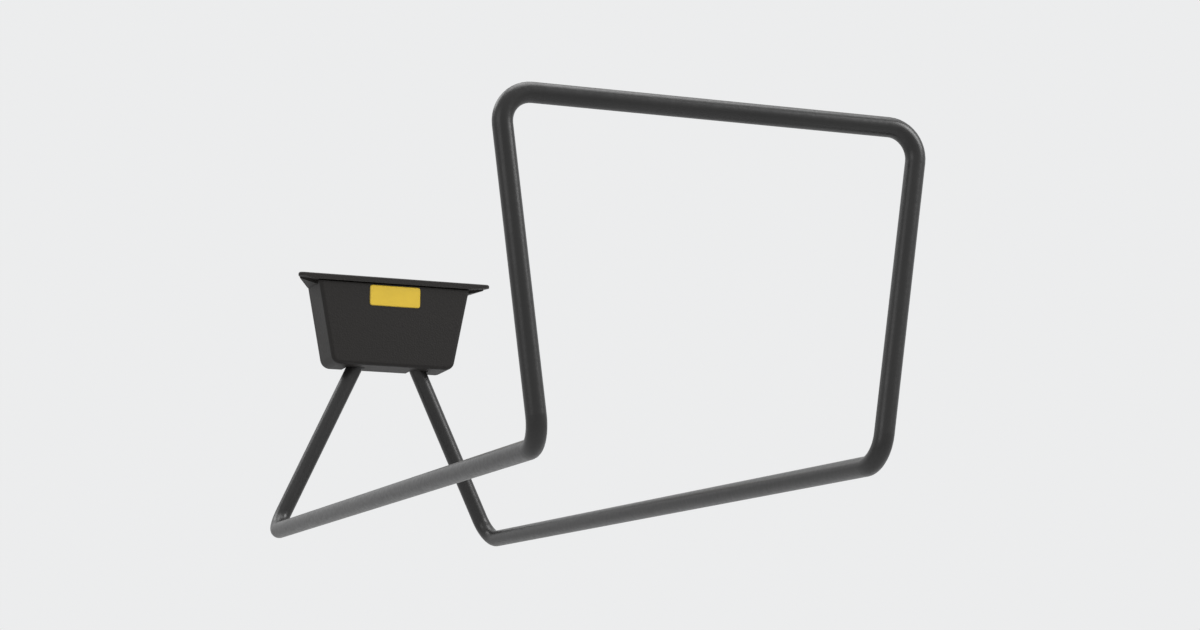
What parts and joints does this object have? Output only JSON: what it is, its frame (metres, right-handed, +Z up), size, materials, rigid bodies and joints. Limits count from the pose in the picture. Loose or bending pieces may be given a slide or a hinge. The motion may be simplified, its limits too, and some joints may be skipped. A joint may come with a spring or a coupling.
{
  "type": "wall storage hook",
  "caption": "Bent-wire storage hook with long arms, an upright front frame and a moulded bracket that hangs on a grooved wall panel.",
  "frame": {"origin": "middle of the hanger plate's back face, on the wall's surface", "axes": "+Z up, +Y into the wall, +X to the right as the hook is seen from the front; the arms reach out towards -Y"},
  "size_m": [0.1622, 0.3913, 0.1266],
  "materials": {
    "wire_coat": "satin black powder coat",
    "moulded_black": "matte, finely textured",
    "plate_coat": "matte black coat",
    "screw_steel": "bright zinc plate",
    "badge_yellow": "satin"
  },
  "bodies": {
    "root": {"hook_wire": "wire_coat", "bracket_body": "moulded_black", "hanger_plate": "plate_coat", "plate_screws": "screw_steel", "badge": "badge_yellow"}
  },
  "joints": []
}
